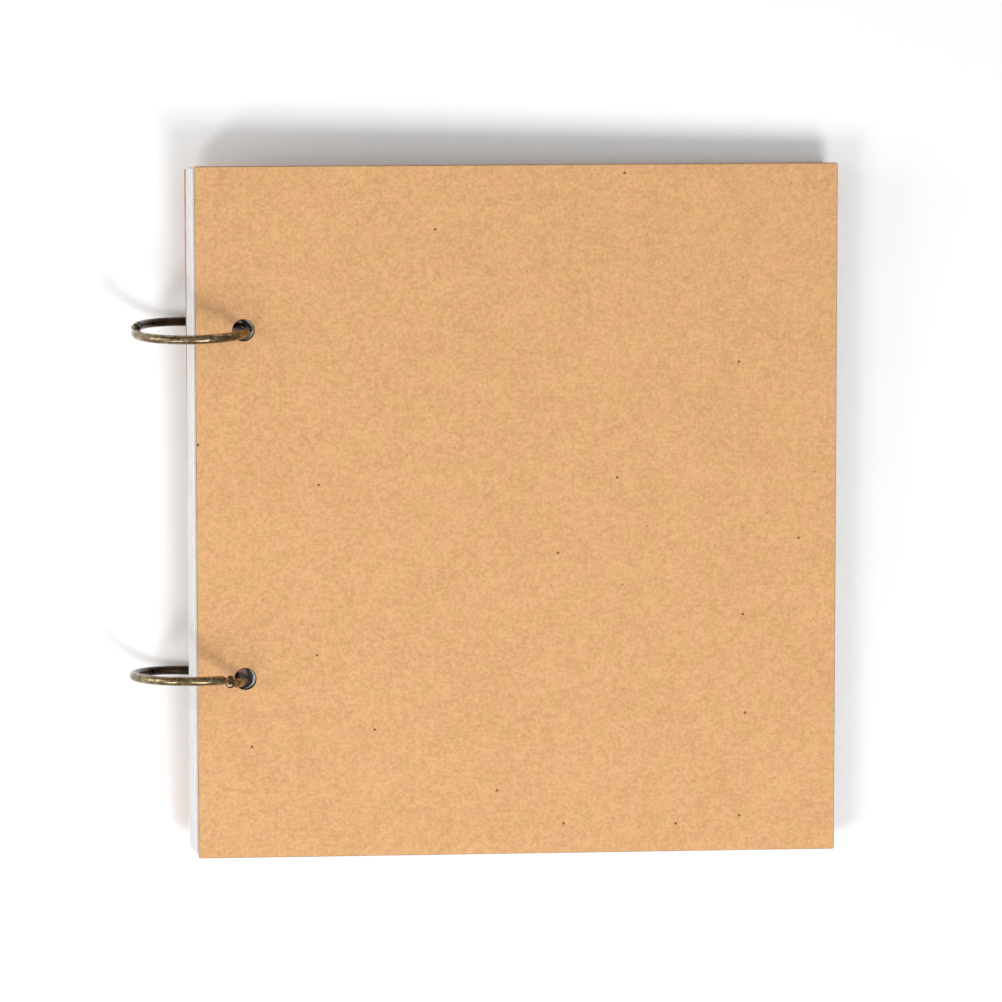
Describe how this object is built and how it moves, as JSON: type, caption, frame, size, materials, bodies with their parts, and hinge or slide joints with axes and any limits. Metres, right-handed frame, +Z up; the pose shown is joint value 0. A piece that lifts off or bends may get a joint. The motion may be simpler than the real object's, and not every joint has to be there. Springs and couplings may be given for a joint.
{
  "type": "loose-leaf scrapbook album",
  "caption": "Square loose-leaf scrapbook album: kraft board covers and white card leaves that turn on two hinged bronze book rings through punched holes.",
  "frame": {"origin": "middle of the base of the closed album's bounding box, on the surface it lies on", "axes": "+Z up, out of the front cover; -X towards the spine and rings, +X towards the fore edge; +Y towards the head of the pages"},
  "size_m": [0.2208, 0.2162, 0.0367],
  "materials": {
    "kraft_board": "matt unbleached kraft with fine fibre flecks",
    "white_card": "smooth matt white card",
    "old_bronze": "antique bronze plating, worn bright on raised places"
  },
  "bodies": {
    "back_cover": {"back_cover": "kraft_board"},
    "leaf_13": {"leaf_13": "white_card"},
    "leaf_12": {"leaf_12": "white_card"},
    "leaf_11": {"leaf_11": "white_card"},
    "leaf_10": {"leaf_10": "white_card"},
    "leaf_09": {"leaf_09": "white_card"},
    "leaf_08": {"leaf_08": "white_card"},
    "leaf_07": {"leaf_07": "white_card"},
    "leaf_06": {"leaf_06": "white_card"},
    "leaf_05": {"leaf_05": "white_card"},
    "leaf_04": {"leaf_04": "white_card"},
    "leaf_03": {"leaf_03": "white_card"},
    "leaf_02": {"leaf_02": "white_card"},
    "leaf_01": {"leaf_01": "white_card"},
    "front_cover": {"front_cover": "kraft_board"},
    "upper_ring": {"upper_ring_fixed_half": "old_bronze", "upper_ring_pin": "old_bronze"},
    "upper_ring_gate": {"upper_ring_gate": "old_bronze"},
    "lower_ring": {"lower_ring_fixed_half": "old_bronze", "lower_ring_pin": "old_bronze"},
    "lower_ring_gate": {"lower_ring_gate": "old_bronze"}
  },
  "joints": [
    {"name": "leaf_13_turn", "type": "hinge", "parent": "back_cover", "child": "leaf_13", "pos_m": [-0.09173, 0, 0.01837], "axis": [0, -1, 0], "range_deg": [0, 180]},
    {"name": "leaf_12_turn", "type": "hinge", "parent": "leaf_13", "child": "leaf_12", "pos_m": [-0.09173, 0, 0.01837], "axis": [0, -1, 0], "range_deg": [0, 180]},
    {"name": "leaf_11_turn", "type": "hinge", "parent": "leaf_12", "child": "leaf_11", "pos_m": [-0.09173, 0, 0.01837], "axis": [0, -1, 0], "range_deg": [0, 180]},
    {"name": "leaf_10_turn", "type": "hinge", "parent": "leaf_11", "child": "leaf_10", "pos_m": [-0.09173, 0, 0.01837], "axis": [0, -1, 0], "range_deg": [0, 180]},
    {"name": "leaf_09_turn", "type": "hinge", "parent": "leaf_10", "child": "leaf_09", "pos_m": [-0.09173, 0, 0.01837], "axis": [0, -1, 0], "range_deg": [0, 180]},
    {"name": "leaf_08_turn", "type": "hinge", "parent": "leaf_09", "child": "leaf_08", "pos_m": [-0.09173, 0, 0.01837], "axis": [0, -1, 0], "range_deg": [0, 180]},
    {"name": "leaf_07_turn", "type": "hinge", "parent": "leaf_08", "child": "leaf_07", "pos_m": [-0.09173, 0, 0.01837], "axis": [0, -1, 0], "range_deg": [0, 180]},
    {"name": "leaf_06_turn", "type": "hinge", "parent": "leaf_07", "child": "leaf_06", "pos_m": [-0.09173, 0, 0.01837], "axis": [0, -1, 0], "range_deg": [0, 180]},
    {"name": "leaf_05_turn", "type": "hinge", "parent": "leaf_06", "child": "leaf_05", "pos_m": [-0.09173, 0, 0.01837], "axis": [0, -1, 0], "range_deg": [0, 180]},
    {"name": "leaf_04_turn", "type": "hinge", "parent": "leaf_05", "child": "leaf_04", "pos_m": [-0.09173, 0, 0.01837], "axis": [0, -1, 0], "range_deg": [0, 180]},
    {"name": "leaf_03_turn", "type": "hinge", "parent": "leaf_04", "child": "leaf_03", "pos_m": [-0.09173, 0, 0.01837], "axis": [0, -1, 0], "range_deg": [0, 180]},
    {"name": "leaf_02_turn", "type": "hinge", "parent": "leaf_03", "child": "leaf_02", "pos_m": [-0.09173, 0, 0.01837], "axis": [0, -1, 0], "range_deg": [0, 180]},
    {"name": "leaf_01_turn", "type": "hinge", "parent": "leaf_02", "child": "leaf_01", "pos_m": [-0.09173, 0, 0.01837], "axis": [0, -1, 0], "range_deg": [0, 180]},
    {"name": "front_cover_turn", "type": "hinge", "parent": "leaf_01", "child": "front_cover", "pos_m": [-0.09173, 0, 0.01837], "axis": [0, -1, 0], "range_deg": [0, 180]},
    {"name": "upper_ring_spin", "type": "hinge", "parent": "back_cover", "child": "upper_ring", "pos_m": [-0.09083, 0.0571, 0.01837], "axis": [0.0087, 0.9986, 0.0523], "range_deg": [-120, 160]},
    {"name": "upper_ring_gate_open", "type": "hinge", "parent": "upper_ring", "child": "upper_ring_gate", "pos_m": [-0.10786, 0.05734, 0.01659], "axis": [0.0087, 0.9986, 0.0523], "range_deg": [-90, 0]},
    {"name": "lower_ring_spin", "type": "hinge", "parent": "back_cover", "child": "lower_ring", "pos_m": [-0.09203, -0.051, 0.01837], "axis": [-0.0349, -0.9991, 0.0244], "range_deg": [-17, 263]},
    {"name": "lower_ring_gate_open", "type": "hinge", "parent": "lower_ring", "child": "lower_ring_gate", "pos_m": [-0.07911, -0.05118, 0.02961], "axis": [-0.0349, -0.9991, 0.0244], "range_deg": [-90, 0]}
  ]
}
